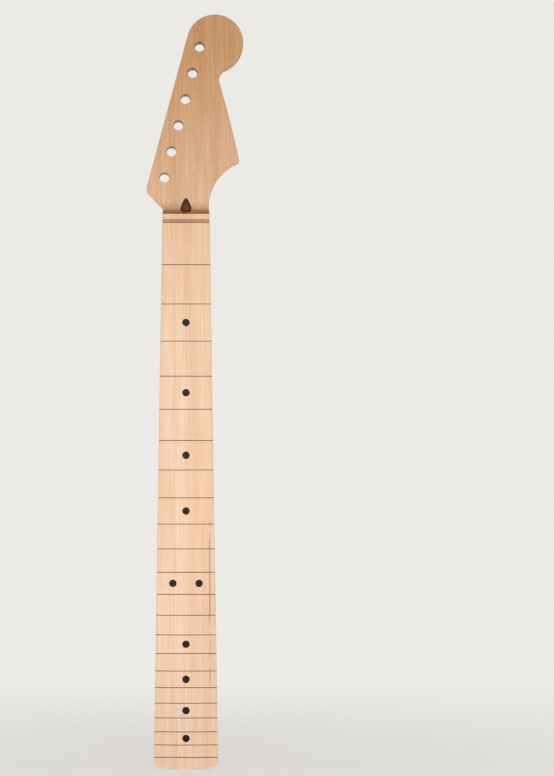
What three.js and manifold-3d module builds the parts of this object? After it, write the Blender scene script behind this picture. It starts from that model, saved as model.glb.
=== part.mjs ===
// Bolt-on electric guitar neck: 22 fret slots, six tuners in line, no frets or nut fitted.
// It stands upright. +Z runs from the heel to the headstock, the fingerboard faces -Y and
// the back of the neck faces +Y. The tuner side is at -X.
// The origin is on the heel's flat back, at the centre of its four screw holes.
// All sizes are in millimetres, and angles in radians.

import * as THREE from "three";
import { mergeVertices } from "three/addons/utils/BufferGeometryUtils.js";
import Module from "manifold-3d";

const wasm = await Module();
wasm.setup();

// Scale, board and slots
const scaleLength = 647.7;
const fretCount = 22;
const semitonesPerOctave = 12;
const nutWidth = 41.3;
const heelWidth = 55.9;
const boardThickness = 6.35;
const boardRadiusAtNut = 254;
const boardRadiusAtHeel = 406.4;
const heelPastLastFret = 2.76;
const boardPastHeel = 8;
const boardPastNut = 7.9;
const fretSlotWidth = 0.6;
const fretSlotDepth = 3.2;
const nutSlotWidth = 3.2;
const nutSlotDepth = 3.4;

// Inlaid dots
const faceDotDiameter = 6.35;
const faceDotThickness = 2;
const octaveDotSpacing = 22.8;
const sideDotDiameter = 2;
const sideDotLength = 3;
const sideDotBelowFace = 3.6;
const octaveSideDotSpacing = 9.5;

// Neck wood and its heel
const woodThickness = 19.05;
const depthAtFirstFret = 23.9;
const depthAtOctave = 25.4;
const heelEndRadius = 95;
const heelCornerRadius = 4.5;
const screwSpacingAcross = 38.1;
const screwSpacingAlong = 50.8;
const screwRowToHeelEnd = 17.2;
const pilotDiameter = 3.2;
const pilotDepth = 16;

// Carved back of the neck: a superellipse that runs out into the heel and the headstock
const carvePower = 2.2;
const heelRunoutLength = 40;
const shoulderAboveScrews = 15.1;
const heelRunoutRise = 8.7;
const heelRunoutReach = 8;
const heelRunoutEndShare = 1.35;
const headRunoutLength = 50;
const headRunoutBelowNut = 8;
const headRunoutRiseShare = 2;
const headRunoutEndShare = 1.5;
const hornReach = 14;
const tunerReach = 28;
const tunerReachStart = 7;
const tunerReachEnd = 20;
const reachPower = 5;
const runoutPower = 3;

// Headstock
const headThickness = 14.3;
const sweepRadius = 12.7;
const throatWidth = 40.2;
const throatPastNut = 15;
const firstTunerAcross = 19.05;
const firstTunerPastNut = 40.6;
const tunerPitch = 23.8;
const tunerCount = 6;
const tunerRowAngle = 0.2635;
const tunerBoreDiameter = 8.73;
const tunerRowToEdge = 12.7;
const ballRadius = 24.8;
const ballPastLastTuner = 6.8;
const notchRadius = 9.6;
const notchTurn = 0.391;
const bladeAngle = 0.28;
const hornAcross = 46.9;
const hornPastNut = 54.6;
const hornTipRadius = 1.2;
const headCornerRadius = 6;
const headCornerAngle = 0.806;
const headCornerPastNut = 29.2;
const throatFilletRadius = 9;

// Truss rod, its anchor and its nut
const rodDiameter = 4.76;
const rodBelowGlueAtHeel = 8;
const rodBelowGlueAtDeepest = 12.7;
const rodDeepestShare = 0.405;
const rodStraightAboveBarrel = 20;
const rodBendHandle = 90;
const plugDiameter = 9.5;
const plugAngle = 0.2497;
const plugPastNut = 13.1;
const plugAboveHeadFace = 2.45;
const plugLength = 14;
const anchorLength = 9;
const rodShortOfAnchor = 1;
const stripeWidth = 6.35;
const stripeTopBelowNut = 39.5;
const stripeEndGap = 1.3;
const barrelDiameter = 9.2;
const barrelBelowUpperScrews = 3.3;
const barrelFloor = 2.2;
const barrelSlotLength = 3.8;
const barrelSlotWidth = 1;
const barrelSlotDepth = 0.9;
const trussNutDiameter = 8;
const trussNutLength = 14;
const trussNutRecess = 0.6;
const trussNutSlotWidth = 1.6;
const trussNutSlotDepth = 3;
const rodThreadInNut = 8.5;
const threadTailGap = 0.8;
const washerThickness = 1.2;
const washerGap = 0.3;

// Clearances and the facets of round forms
const inlayGap = 0.1;
const rodGap = 0.2;
const trussNutGap = 0.4;
const seatGap = 0.3;
const overrun = 4;
const chordError = 0.03;
const carveFacets = 28;
const boardFacets = 12;
const dotFacets = 20;
const smallFacets = 12;
const boreFacets = 24;
const rodFacets = 12;
const rodBendSteps = 14;
const runoutSteps = 9;
const tipSteps = 4;

// Places that follow from the sizes
const nutToHeelEnd = fretFromNut(fretCount) + heelPastLastFret;
const heelEndZ = -(screwSpacingAlong / 2 + screwRowToHeelEnd);
const nutZ = heelEndZ + nutToHeelEnd;
const boardHeelZ = heelEndZ - boardPastHeel;
const boardHeadZ = nutZ + boardPastNut;
const glueY = -woodThickness;
const boardTopY = glueY - boardThickness;
const headFaceY = -headThickness;
const rodRadius = rodDiameter / 2;
const tunerAlong = new THREE.Vector2(Math.sin(tunerRowAngle), Math.cos(tunerRowAngle));
const firstTuner = new THREE.Vector2(-firstTunerAcross, nutZ + firstTunerPastNut);
const pastHeadZ = firstTuner.y + tunerCount * tunerPitch + 2 * ballRadius;

const maple = { color: 0xdcb68c, roughness: 0.62, metalness: 0 };
const boardMaple = { color: 0xe8c49a, roughness: 0.6, metalness: 0 };
const walnut = { color: 0x6b4030, roughness: 0.6, metalness: 0 };
const blackInlay = { color: 0x1c1714, roughness: 0.45, metalness: 0 };
const steel = { color: 0x9a938a, roughness: 0.4, metalness: 1 };

const neckAssembly = new THREE.Group();

// Closed three.js geometry to a solid that can be joined and cut, and back
function toSolid(geometry) {
  const bare = geometry.clone();
  bare.deleteAttribute("normal");
  bare.deleteAttribute("uv");
  const merged = mergeVertices(bare);
  return new wasm.Manifold(new wasm.Mesh({
    numProp: 3,
    vertProperties: new Float32Array(merged.attributes.position.array),
    triVerts: new Uint32Array(merged.index.array),
  }));
}

function toGeometry(solid) {
  const mesh = solid.getMesh();
  const geometry = new THREE.BufferGeometry();
  geometry.setAttribute("position", new THREE.BufferAttribute(mesh.vertProperties, 3));
  geometry.setIndex(new THREE.BufferAttribute(mesh.triVerts, 1));
  geometry.computeVertexNormals();
  return geometry;
}

function addPiece(name, solid, finish) {
  const mesh = new THREE.Mesh(toGeometry(solid), new THREE.MeshStandardMaterial(finish));
  mesh.name = name;
  neckAssembly.add(mesh);
}

// A front-view outline, points of (x, z), made solid between two depths
function extrudeFrontOutline(points, yNear, yFar) {
  const geometry = new THREE.ExtrudeGeometry(new THREE.Shape(points), {
    depth: yFar - yNear,
    bevelEnabled: false,
  });
  const toFront = new THREE.Matrix4().makeBasis(
    new THREE.Vector3(1, 0, 0), new THREE.Vector3(0, 0, 1), new THREE.Vector3(0, -1, 0));
  geometry.applyMatrix4(toFront).translate(0, yFar, 0);
  return toSolid(geometry);
}

// A side-view outline, points of (y, z), made solid across the neck
function extrudeSideOutline(points, halfWidth) {
  const geometry = new THREE.ExtrudeGeometry(new THREE.Shape(points), {
    depth: 2 * halfWidth,
    bevelEnabled: false,
  });
  const toSide = new THREE.Matrix4().makeBasis(
    new THREE.Vector3(0, 1, 0), new THREE.Vector3(0, 0, 1), new THREE.Vector3(1, 0, 0));
  geometry.applyMatrix4(toSide).translate(-halfWidth, 0, 0);
  return toSolid(geometry);
}

// A round bar between two points
function bar(from, to, diameter, facets) {
  const length = from.distanceTo(to);
  const geometry = new THREE.CylinderGeometry(diameter / 2, diameter / 2, length, facets);
  const along = to.clone().sub(from).normalize();
  geometry.applyQuaternion(
    new THREE.Quaternion().setFromUnitVectors(new THREE.Vector3(0, 1, 0), along));
  const middle = from.clone().add(to).divideScalar(2);
  return toSolid(geometry.translate(...middle.toArray()));
}

function block(width, depth, height, x, y, z) {
  return toSolid(new THREE.BoxGeometry(width, depth, height).translate(x, y, z));
}

// A solid through sections of equal point counts, each a closed ring of Vector3
function loft(sections) {
  const count = sections[0].length;
  const positions = sections.flat().flatMap((point) => point.toArray());
  const triangles = [];
  for (let s = 0; s + 1 < sections.length; s++) {
    for (let i = 0; i < count; i++) {
      const here = s * count + i;
      const next = s * count + (i + 1) % count;
      triangles.push(here, next, next + count, here, next + count, here + count);
    }
  }
  const last = (sections.length - 1) * count;
  for (let i = 1; i + 1 < count; i++) {
    triangles.push(0, i + 1, i);
    triangles.push(last, last + i, last + i + 1);
  }
  const geometry = new THREE.BufferGeometry();
  geometry.setAttribute("position", new THREE.Float32BufferAttribute(positions, 3));
  geometry.setIndex(triangles);
  return toSolid(geometry);
}

// Round stretches of an outline
function pushArc(points, centre, radius, fromAngle, toAngle) {
  const step = 2 * Math.acos(1 - chordError / radius);
  const count = Math.max(2, Math.ceil(Math.abs(toAngle - fromAngle) / step));
  for (let i = 0; i <= count; i++) {
    const angle = fromAngle + (toAngle - fromAngle) * i / count;
    points.push(new THREE.Vector2(
      centre.x + radius * Math.cos(angle), centre.y + radius * Math.sin(angle)));
  }
}

// A corner between two straight lines, rounded to a radius
function pushRoundedCorner(points, before, corner, after, radius) {
  const inward = before.clone().sub(corner).normalize();
  const outward = after.clone().sub(corner).normalize();
  const halfAngle = inward.angleTo(outward) / 2;
  const bisector = inward.clone().add(outward).normalize();
  const centre = corner.clone().add(bisector.multiplyScalar(radius / Math.sin(halfAngle)));
  const reach = radius / Math.tan(halfAngle);
  const start = corner.clone().add(inward.multiplyScalar(reach)).sub(centre).angle();
  let end = corner.clone().add(outward.multiplyScalar(reach)).sub(centre).angle();
  if (end - start > Math.PI) end -= 2 * Math.PI;
  if (start - end > Math.PI) end += 2 * Math.PI;
  pushArc(points, centre, radius, start, end);
}

// Sizes along the neck
function halfWidthAt(z) {
  const share = (nutZ - z) / nutToHeelEnd;
  return (nutWidth + (heelWidth - nutWidth) * share) / 2;
}

function fretFromNut(fret) {
  return scaleLength * (1 - 2 ** (-fret / semitonesPerOctave));
}

function fretZ(fret) {
  return nutZ - fretFromNut(fret);
}

function boardRadiusAt(z) {
  const share = (nutZ - z) / nutToHeelEnd;
  return boardRadiusAtNut + (boardRadiusAtHeel - boardRadiusAtNut) * share;
}

// Depth of the carved wood behind the glue line, before it runs out
function shaftDepthAt(z) {
  const share = (fretZ(1) - z) / (fretZ(1) - fretZ(semitonesPerOctave));
  const total = THREE.MathUtils.lerp(
    depthAtFirstFret, depthAtOctave, THREE.MathUtils.clamp(share, 0, 1));
  return total - boardThickness;
}

// The heel end of the board or of the wood: a shallow arc between two rounded corners
function pushHeelEnd(points, apexZ) {
  const centre = new THREE.Vector2(0, apexZ + heelEndRadius);
  const cornerSlope = Math.asin(halfWidthAt(apexZ) / heelEndRadius);
  const cornerZ = centre.y - heelEndRadius * Math.cos(cornerSlope);
  const right = new THREE.Vector2(halfWidthAt(cornerZ), cornerZ);
  const rightUp = new THREE.Vector2(halfWidthAt(nutZ), nutZ);
  const tangent = new THREE.Vector2(-Math.cos(cornerSlope), -Math.sin(cornerSlope));
  const rightIn = right.clone().add(tangent.multiplyScalar(heelCornerRadius));
  const mirror = (point) => new THREE.Vector2(-point.x, point.y);
  const arcSlope = cornerSlope - heelCornerRadius / heelEndRadius;
  pushRoundedCorner(points, mirror(rightUp), mirror(right), mirror(rightIn), heelCornerRadius);
  const down = -Math.PI / 2;
  pushArc(points, centre, heelEndRadius, down - arcSlope, down + arcSlope);
  pushRoundedCorner(points, rightIn, right, rightUp, heelCornerRadius);
}

// The headstock's outline, from the throat on the horn side round to the tuner side
function pushHeadstock(points) {
  const throatZ = nutZ + throatPastNut;
  const throatX = throatWidth / 2;
  const horn = new THREE.Vector2(hornAcross, nutZ + hornPastNut);

  // The scoop under the horn leaves the throat square to it and ends at the horn's tip
  const scoopRise = horn.y - throatZ;
  const scoopRun = horn.x - throatX;
  const scoopRadius = (scoopRise ** 2 + scoopRun ** 2) / (2 * scoopRun);
  const scoopCentre = new THREE.Vector2(throatX + scoopRadius, throatZ);
  const scoopEnd = horn.clone().sub(scoopCentre).angle();
  pushArc(points, scoopCentre, scoopRadius, Math.PI, scoopEnd + hornTipRadius / scoopRadius);

  // The ball touches the tuner edge, and the notch touches the ball
  const across = new THREE.Vector2(tunerAlong.y, -tunerAlong.x);
  const rowLength = (tunerCount - 1) * tunerPitch + ballPastLastTuner;
  const ballCentre = firstTuner.clone()
    .add(tunerAlong.clone().multiplyScalar(rowLength))
    .add(across.clone().multiplyScalar(ballRadius - tunerRowToEdge));
  const notchWay = new THREE.Vector2(Math.sin(notchTurn), -Math.cos(notchTurn));
  const notchCentre = ballCentre.clone()
    .add(notchWay.multiplyScalar(ballRadius + notchRadius));

  // The blade is a long shallow arc from the horn's tip to the notch
  const bladeTop = notchCentre.clone().add(new THREE.Vector2(
    -notchRadius * Math.cos(bladeAngle), -notchRadius * Math.sin(bladeAngle)));
  const chord = horn.clone().sub(bladeTop);
  const normal = new THREE.Vector2(-Math.cos(bladeAngle), -Math.sin(bladeAngle));
  const bladeRadius = chord.lengthSq() / (2 * chord.dot(normal));
  const bladeCentre = bladeTop.clone().add(normal.clone().multiplyScalar(bladeRadius));
  const bladeStart = horn.clone().sub(bladeCentre).angle();
  const bladeEnd = bladeTop.clone().sub(bladeCentre).angle();
  const tipTurn = hornTipRadius / bladeRadius;
  const tipFrom = points.at(-1).clone();
  const tipTo = new THREE.Vector2(
    bladeCentre.x + bladeRadius * Math.cos(bladeStart + tipTurn),
    bladeCentre.y + bladeRadius * Math.sin(bladeStart + tipTurn));
  const tip = new THREE.QuadraticBezierCurve(tipFrom, horn, tipTo);
  points.push(...tip.getPoints(tipSteps).slice(1, -1));
  const fullTurn = 2 * Math.PI;
  const bladeSweep = ((bladeEnd - bladeStart - tipTurn) % fullTurn + fullTurn) % fullTurn;
  pushArc(points, bladeCentre, bladeRadius, bladeStart + tipTurn,
    bladeStart + tipTurn + bladeSweep);

  // Notch and ball
  const notchFrom = Math.PI + bladeAngle;
  const notchTo = ballCentre.clone().sub(notchCentre).angle();
  pushArc(points, notchCentre, notchRadius, notchFrom, notchTo);
  const ballFrom = notchTo - Math.PI;
  const ballTo = Math.PI - tunerRowAngle;
  pushArc(points, ballCentre, ballRadius, ballFrom, ballTo);

  // Tuner edge, lower corner and the slope back to the throat
  const edgePoint = firstTuner.clone().sub(across.clone().multiplyScalar(tunerRowToEdge));
  const cornerZ = nutZ + headCornerPastNut;
  const corner = new THREE.Vector2(
    edgePoint.x - (edgePoint.y - cornerZ) * Math.tan(tunerRowAngle), cornerZ);
  const slopeRun = -throatX - corner.x;
  const foot = new THREE.Vector2(-throatX, cornerZ - slopeRun * Math.tan(headCornerAngle));
  const neckSide = new THREE.Vector2(-throatX, nutZ);
  pushRoundedCorner(points, edgePoint, corner, foot, headCornerRadius);
  pushRoundedCorner(points, corner, foot, neckSide, throatFilletRadius);
}

// Superellipse half-section of the carved back, as rings for the loft
function carveSection(z, depth, hornSide, tunerSide) {
  const ring = [];
  for (let i = 0; i <= carveFacets; i++) {
    const angle = Math.PI * i / carveFacets;
    const across = Math.abs(Math.cos(angle)) ** (2 / carvePower);
    const behind = Math.sin(angle) ** (2 / carvePower);
    const x = i * 2 < carveFacets ? hornSide * across : -tunerSide * across;
    ring.push(new THREE.Vector3(x, glueY + depth * behind, z));
  }
  ring.push(new THREE.Vector3(-tunerSide, glueY - overrun, z));
  ring.push(new THREE.Vector3(hornSide, glueY - overrun, z));
  return ring;
}

// The solid that the back of the neck is carved to. It runs out of the wood at both ends
function carveSolid() {
  const sections = [];
  const shoulderZ = screwSpacingAlong / 2 + shoulderAboveScrews;
  const heelStartZ = shoulderZ + heelRunoutLength;
  const heelSection = (share, z) => {
    const depth = shaftDepthAt(z) + heelRunoutRise * share ** runoutPower;
    const side = halfWidthAt(z) + heelRunoutReach * share ** runoutPower;
    return carveSection(z, depth, side, side);
  };
  sections.push(heelSection(heelRunoutEndShare, boardHeelZ - overrun));
  for (let i = 0; i < runoutSteps; i++) {
    const share = heelRunoutEndShare * (1 - i / runoutSteps);
    sections.push(heelSection(share, heelStartZ - share * heelRunoutLength));
  }
  sections.push(heelSection(0, heelStartZ));
  sections.push(heelSection(0, fretZ(semitonesPerOctave)));
  sections.push(heelSection(0, fretZ(1)));
  const headStartZ = nutZ - headRunoutBelowNut;
  const headSection = (share, z) => {
    const shaft = shaftDepthAt(z);
    const rise = headRunoutRiseShare * woodThickness - shaft;
    const depth = shaft + rise * share ** runoutPower;
    const opened = THREE.MathUtils.smoothstep(z, nutZ + tunerReachStart, nutZ + tunerReachEnd);
    const hornSide = halfWidthAt(Math.min(z, nutZ)) + hornReach * share ** reachPower;
    const tunerSide = halfWidthAt(Math.min(z, nutZ)) + tunerReach * opened;
    return carveSection(z, depth, hornSide, tunerSide);
  };
  const headSteps = 2 * runoutSteps;
  for (let i = 0; i <= headSteps; i++) {
    const share = headRunoutEndShare * i / headSteps;
    sections.push(headSection(share, headStartZ + share * headRunoutLength));
  }
  sections.push(headSection(headRunoutEndShare, pastHeadZ));
  return loft(sections);
}

// The board's blank: flat under, with a face whose radius grows from nut to heel
function boardBlank() {
  const section = (z) => {
    const half = halfWidthAt(z) + overrun;
    const radius = boardRadiusAt(z);
    const ring = [];
    for (let i = 0; i <= boardFacets; i++) {
      const x = half * (1 - 2 * i / boardFacets);
      ring.push(new THREE.Vector3(x, boardTopY + radius - Math.sqrt(radius ** 2 - x ** 2), z));
    }
    ring.push(new THREE.Vector3(-half, glueY, z));
    ring.push(new THREE.Vector3(half, glueY, z));
    return ring.reverse();
  };
  const outline = [];
  pushHeelEnd(outline, boardHeelZ);
  const topZ = boardHeadZ + overrun;
  outline.push(new THREE.Vector2(halfWidthAt(topZ), topZ));
  outline.push(new THREE.Vector2(-halfWidthAt(topZ), topZ));
  const stock = extrudeFrontOutline(outline, boardTopY - overrun, glueY);
  return loft([section(boardHeelZ - overrun), section(topZ + overrun)]).intersect(stock);
}

// What is cut away in front of the headstock, with the sweep up to the end of the board
function headFaceCutter() {
  const rise = headFaceY - boardTopY;
  const run = Math.sqrt(sweepRadius ** 2 - (sweepRadius - rise) ** 2);
  const centre = new THREE.Vector2(headFaceY - sweepRadius, boardHeadZ + run);
  const points = [];
  const startAngle = Math.atan2(-run, sweepRadius - rise);
  pushArc(points, centre, sweepRadius, startAngle, 0);
  points.push(new THREE.Vector2(headFaceY, pastHeadZ));
  points.push(new THREE.Vector2(boardTopY - 2 * overrun, pastHeadZ));
  points.push(new THREE.Vector2(boardTopY - 2 * overrun, boardHeadZ));
  return extrudeSideOutline(points, hornAcross + 2 * ballRadius);
}

// The line that the plug, the anchor and the rod's end share, out through the sweep
const plugMouth = new THREE.Vector3(0, headFaceY - plugAboveHeadFace, nutZ + plugPastNut);
const plugInward = new THREE.Vector3(0, Math.sin(plugAngle), -Math.cos(plugAngle));
function onPlugLine(distance) {
  return plugMouth.clone().add(plugInward.clone().multiplyScalar(distance));
}

// The rod's route: out of the anchor, down to its deepest point, then up to the heel
const anchorStart = plugLength + seatGap;
const anchorEnd = anchorStart + anchorLength;
const rodHeelY = glueY + rodBelowGlueAtHeel;
const barrelZ = screwSpacingAlong / 2 - barrelBelowUpperScrews;
const trussNutEndZ = heelEndZ + trussNutRecess;
const trussNutSeatZ = trussNutEndZ + trussNutLength;
const nutBoreDiameter = trussNutDiameter + 2 * trussNutGap;
const rodEndZ = trussNutSeatZ - rodThreadInNut;
const rodRoute = new THREE.CurvePath();
const rodLeaves = onPlugLine(anchorEnd + seatGap);
const rodDeepest = new THREE.Vector3(
  0, glueY + rodBelowGlueAtDeepest, nutZ - rodDeepestShare * nutToHeelEnd);
const bendPoint = rodLeaves.clone().add(
  plugInward.clone().multiplyScalar((rodDeepest.y - rodLeaves.y) / plugInward.y));
const rodStraight = new THREE.Vector3(0, rodHeelY, barrelZ + rodStraightAboveBarrel);
const bendHandle = new THREE.Vector3(0, 0, rodBendHandle);
rodRoute.add(new THREE.LineCurve3(onPlugLine(anchorStart + rodShortOfAnchor), rodLeaves));
rodRoute.add(new THREE.QuadraticBezierCurve3(rodLeaves, bendPoint, rodDeepest));
rodRoute.add(new THREE.CubicBezierCurve3(
  rodDeepest, rodDeepest.clone().sub(bendHandle),
  rodStraight.clone().add(bendHandle), rodStraight));
rodRoute.add(new THREE.LineCurve3(rodStraight, new THREE.Vector3(0, rodHeelY, rodEndZ)));

// Stations along the route: the ends of its straight runs, and steps where it bends
const rodStations = rodRoute.curves.flatMap((curve) => {
  const steps = curve.isLineCurve3 ? 1 : rodBendSteps;
  return Array.from({ length: steps }, (unused, i) => (
    { point: curve.getPoint(i / steps), along: curve.getTangent(i / steps) }));
});
const lastRun = rodRoute.curves.at(-1);
rodStations.push({ point: lastRun.getPoint(1), along: lastRun.getTangent(1) });

function rodTube(radius) {
  const across = new THREE.Vector3(1, 0, 0);
  return loft(rodStations.map(({ point, along }) => {
    const behind = new THREE.Vector3().crossVectors(across, along);
    return Array.from({ length: rodFacets }, (unused, i) => {
      const angle = 2 * Math.PI * i / rodFacets;
      return point.clone()
        .addScaledVector(across, -radius * Math.cos(angle))
        .addScaledVector(behind, radius * Math.sin(angle));
    });
  }));
}

// The long slot in the back of the neck, down to the rod
function rodSlot(gap, behindRod, bottomZ) {
  const half = stripeWidth / 2 + gap;
  const topZ = nutZ - stripeTopBelowNut - stripeWidth / 2;
  const outline = [new THREE.Vector2(-half, bottomZ), new THREE.Vector2(half, bottomZ)];
  pushArc(outline, new THREE.Vector2(0, topZ), half, 0, Math.PI);
  const slot = extrudeFrontOutline(outline, glueY, overrun);
  const side = rodStations.map(({ point }) => new THREE.Vector2(point.y + behindRod, point.z));
  side.push(new THREE.Vector2(2 * overrun, side.at(-1).y));
  side.push(new THREE.Vector2(2 * overrun, side[0].y));
  return slot.intersect(extrudeSideOutline(side, half + overrun));
}

// Stock that several pieces share
const carve = carveSolid();
const headCutter = headFaceCutter();
const plugBore = bar(onPlugLine(-2 * plugLength), onPlugLine(anchorEnd + seatGap),
  plugDiameter + 2 * inlayGap, boreFacets);
const barrelBottomY = rodHeelY - rodRadius - barrelFloor;

// Neck: one piece of maple from the heel to the top of the headstock
function neck() {
  const outline = [];
  pushHeelEnd(outline, heelEndZ);
  outline.push(new THREE.Vector2(nutWidth / 2, nutZ));
  pushHeadstock(outline);
  outline.push(new THREE.Vector2(-nutWidth / 2, nutZ));
  let wood = extrudeFrontOutline(outline, glueY, 0)
    .intersect(carve)
    .subtract(headCutter)
    .subtract(plugBore);
  for (let i = 0; i < tunerCount; i++) {
    const place = firstTuner.clone().add(tunerAlong.clone().multiplyScalar(i * tunerPitch));
    wood = wood.subtract(bar(
      new THREE.Vector3(place.x, glueY - overrun, place.y),
      new THREE.Vector3(place.x, overrun, place.y), tunerBoreDiameter, boreFacets));
  }
  for (const x of [-screwSpacingAcross / 2, screwSpacingAcross / 2]) {
    for (const z of [-screwSpacingAlong / 2, screwSpacingAlong / 2]) {
      wood = wood.subtract(bar(new THREE.Vector3(x, -pilotDepth, z),
        new THREE.Vector3(x, overrun, z), pilotDiameter, smallFacets));
    }
  }
  const barrelBore = bar(new THREE.Vector3(0, barrelBottomY, barrelZ),
    new THREE.Vector3(0, overrun, barrelZ), barrelDiameter + 2 * inlayGap, boreFacets);
  const washerSeatZ = trussNutSeatZ + 2 * seatGap + washerThickness;
  const nutBore = bar(new THREE.Vector3(0, rodHeelY, heelEndZ - overrun),
    new THREE.Vector3(0, rodHeelY, washerSeatZ), nutBoreDiameter, boreFacets);
  return wood
    .subtract(rodTube(rodRadius + rodGap))
    .subtract(rodSlot(inlayGap, 0, barrelZ))
    .subtract(barrelBore)
    .subtract(nutBore);
}
addPiece("neck", neck(), maple);

// Dots lie half way between the frets on each side of them, two at the octave
const singleDotFrets = [3, 5, 7, 9, 15, 17, 19, 21];
function dotZ(fret) {
  return (fretZ(fret) + fretZ(fret - 1)) / 2;
}
const faceDots = singleDotFrets.map(
  (fret) => ({ name: `face_dot_${fret}`, x: 0, z: dotZ(fret) }));
const sideDots = singleDotFrets.map(
  (fret) => ({ name: `side_dot_${fret}`, z: dotZ(fret) }));
const octaveZ = dotZ(semitonesPerOctave);
for (const [side, face, edge] of [[-1, "bass", "upper"], [1, "treble", "lower"]]) {
  faceDots.push({ name: `face_dot_12_${face}`, x: side * octaveDotSpacing / 2, z: octaveZ });
  sideDots.push({
    name: `side_dot_12_${edge}`,
    z: octaveZ - side * octaveSideDotSpacing / 2,
  });
}
const dotFloorY = boardTopY + faceDotThickness;
const sideDotY = boardTopY + sideDotBelowFace;
function faceDotBar(dot, gap) {
  return bar(new THREE.Vector3(dot.x, dotFloorY, dot.z),
    new THREE.Vector3(dot.x, boardTopY - overrun, dot.z), faceDotDiameter + 2 * gap, dotFacets);
}
function sideDotBar(dot, gap) {
  const edgeX = -halfWidthAt(dot.z);
  return bar(new THREE.Vector3(edgeX + sideDotLength, sideDotY, dot.z),
    new THREE.Vector3(edgeX - overrun, sideDotY, dot.z),
    sideDotDiameter + 2 * gap, smallFacets);
}

// Fingerboard: a separate maple board, slotted for frets and nut, drilled for its dots
const blank = boardBlank();
function fingerboard() {
  let board = blank.subtract(headCutter).subtract(plugBore);
  const across = heelWidth + 2 * overrun;
  const slotHeight = fretSlotDepth + overrun;
  for (let fret = 1; fret <= fretCount; fret++) {
    board = board.subtract(block(across, slotHeight, fretSlotWidth,
      0, boardTopY + fretSlotDepth - slotHeight / 2, fretZ(fret)));
  }
  const nutHeight = nutSlotDepth + overrun;
  board = board.subtract(block(across, nutHeight, nutSlotWidth,
    0, boardTopY + nutSlotDepth - nutHeight / 2, nutZ + nutSlotWidth / 2));
  for (const dot of faceDots) board = board.subtract(faceDotBar(dot, inlayGap));
  for (const dot of sideDots) board = board.subtract(sideDotBar(dot, inlayGap));
  return board;
}
addPiece("fingerboard", fingerboard(), boardMaple);
for (const dot of faceDots) addPiece(dot.name, faceDotBar(dot, 0).intersect(blank), blackInlay);
for (const dot of sideDots) addPiece(dot.name, sideDotBar(dot, 0).intersect(blank), blackInlay);

// Walnut strip that closes the rod's slot, planed flush with the carved back
function backStripe() {
  const endZ = barrelZ + barrelDiameter / 2 + stripeEndGap;
  const flush = block(stripeWidth + overrun, woodThickness, nutZ - endZ + 2 * overrun,
    0, glueY / 2, (nutZ + endZ) / 2);
  return rodSlot(0, rodRadius + rodGap, endZ).intersect(carve).intersect(flush);
}
addPiece("back_stripe", backStripe(), walnut);

// Walnut plug over the anchor. The sweep cuts it to the shape of a teardrop
const plug = bar(onPlugLine(-2 * plugLength), onPlugLine(plugLength), plugDiameter, boreFacets)
  .subtract(headCutter);
addPiece("headstock_plug", plug, walnut);

// Steel anchor, screwed on the rod's upper end
const anchor = bar(onPlugLine(anchorStart), onPlugLine(anchorEnd), plugDiameter, boreFacets)
  .subtract(bar(onPlugLine(anchorStart - overrun), onPlugLine(anchorEnd + overrun),
    rodDiameter + 2 * rodGap, boreFacets));
addPiece("rod_anchor", anchor, steel);

addPiece("truss_rod", rodTube(rodRadius), steel);

// Steel barrel across the rod at the end of the strip, with a screwdriver slot in its head
function rodBarrel() {
  const rodHole = bar(new THREE.Vector3(0, rodHeelY, barrelZ - barrelDiameter),
    new THREE.Vector3(0, rodHeelY, barrelZ + barrelDiameter),
    rodDiameter + 2 * rodGap, boreFacets);
  const headY = -inlayGap;
  return bar(new THREE.Vector3(0, barrelBottomY, barrelZ),
    new THREE.Vector3(0, headY, barrelZ), barrelDiameter, boreFacets)
    .subtract(rodHole)
    .subtract(block(barrelSlotWidth, 2 * barrelSlotDepth, barrelSlotLength, 0, headY, barrelZ));
}
addPiece("rod_barrel", rodBarrel(), steel);

// Washer and slotted truss nut in their bore in the heel's end
const washerZ = trussNutSeatZ + seatGap;
const washer = bar(new THREE.Vector3(0, rodHeelY, washerZ),
  new THREE.Vector3(0, rodHeelY, washerZ + washerThickness),
  nutBoreDiameter - 2 * washerGap, boreFacets)
  .subtract(bar(new THREE.Vector3(0, rodHeelY, washerZ - overrun),
    new THREE.Vector3(0, rodHeelY, washerZ + overrun), rodDiameter + 2 * rodGap, boreFacets));
addPiece("truss_washer", washer, steel);

function trussNut() {
  const threadEndZ = rodEndZ - threadTailGap;
  const slotLength = trussNutDiameter + overrun;
  return bar(new THREE.Vector3(0, rodHeelY, trussNutEndZ),
    new THREE.Vector3(0, rodHeelY, trussNutSeatZ), trussNutDiameter, boreFacets)
    .subtract(bar(new THREE.Vector3(0, rodHeelY, threadEndZ),
      new THREE.Vector3(0, rodHeelY, trussNutSeatZ + overrun),
      rodDiameter + 2 * rodGap, boreFacets))
    .subtract(block(trussNutSlotWidth, slotLength, 2 * trussNutSlotDepth,
      0, rodHeelY, trussNutEndZ))
    .subtract(block(slotLength, trussNutSlotWidth, 2 * trussNutSlotDepth,
      0, rodHeelY, trussNutEndZ));
}
addPiece("truss_nut", trussNut(), steel);

export default neckAssembly;
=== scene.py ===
# Electric guitar neck of the bolt-on kind. Its board is slotted for frets that aren't fitted.
# It stands on its heel end: +Z runs to the headstock, the board faces -Y and the back +Y.
import cmath
import math
from functools import partial

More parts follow.
